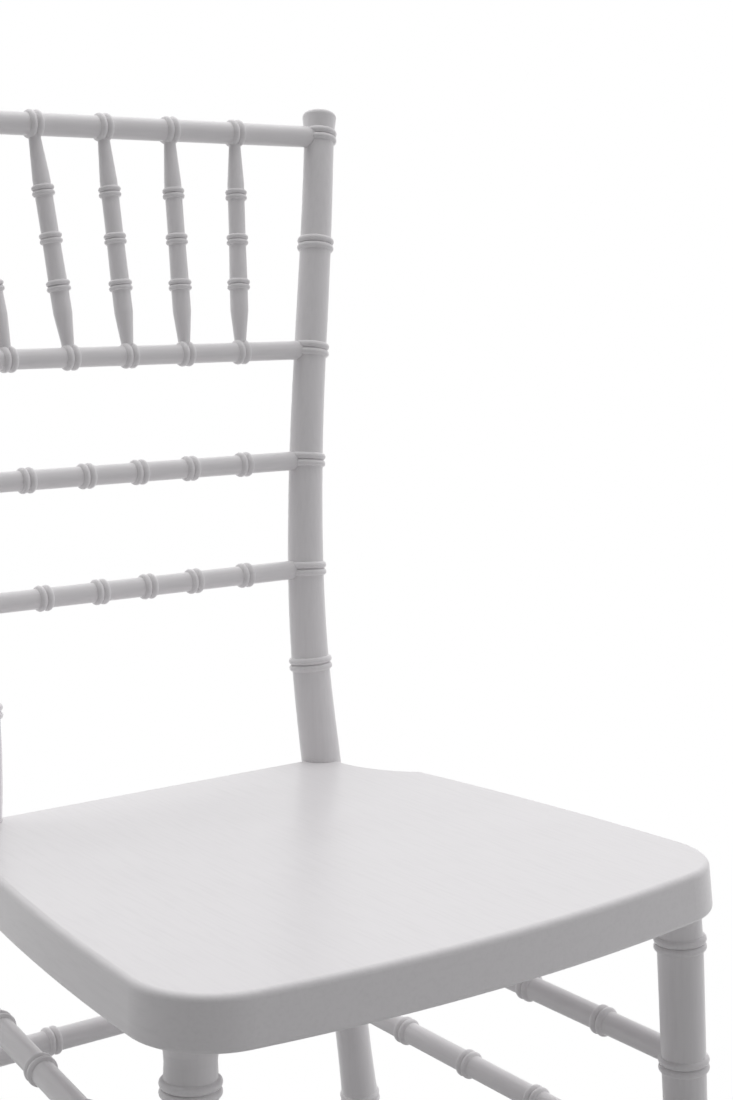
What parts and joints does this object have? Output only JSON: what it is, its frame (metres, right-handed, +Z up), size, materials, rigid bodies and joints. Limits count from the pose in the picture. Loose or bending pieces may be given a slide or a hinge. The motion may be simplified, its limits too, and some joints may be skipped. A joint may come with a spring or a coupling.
{
  "type": "chiavari chair",
  "caption": "Chiavari chair in turned white painted wood: a fan of spindles over plain back rails, a thick solid seat and splayed legs joined by turned stretchers.",
  "frame": {"origin": "on the floor, under the middle of the chair's bounding box", "axes": "+Z up, -Y the way the chair faces, +X to the sitter's left"},
  "size_m": [0.4264, 0.4442, 0.9176],
  "materials": {
    "painted_wood": "satin white paint on turned and sanded hardwood",
    "steel": "plain plated steel",
    "glide_plastic": "matte nylon"
  },
  "bodies": {
    "root": {"back_post_left": "painted_wood", "back_post_right": "painted_wood", "front_leg_left": "painted_wood", "front_leg_right": "painted_wood", "seat_board": "painted_wood", "crest_rail": "painted_wood", "spindle_rail": "painted_wood", "upper_back_rail": "painted_wood", "lower_back_rail": "painted_wood", "spindle_1": "painted_wood", "spindle_2": "painted_wood", "spindle_3": "painted_wood", "spindle_4": "painted_wood", "spindle_5": "painted_wood", "upper_side_stretcher_left": "painted_wood", "upper_side_stretcher_right": "painted_wood", "lower_side_stretcher_left": "painted_wood", "lower_side_stretcher_right": "painted_wood", "upper_front_stretcher": "painted_wood", "lower_front_stretcher": "painted_wood", "rear_stretcher": "painted_wood", "glide_front_left": "glide_plastic", "glide_front_right": "glide_plastic", "glide_back_left": "glide_plastic", "glide_back_right": "glide_plastic", "glide_nails": "steel", "post_screws": "steel", "screw_plugs": "painted_wood"}
  },
  "joints": []
}
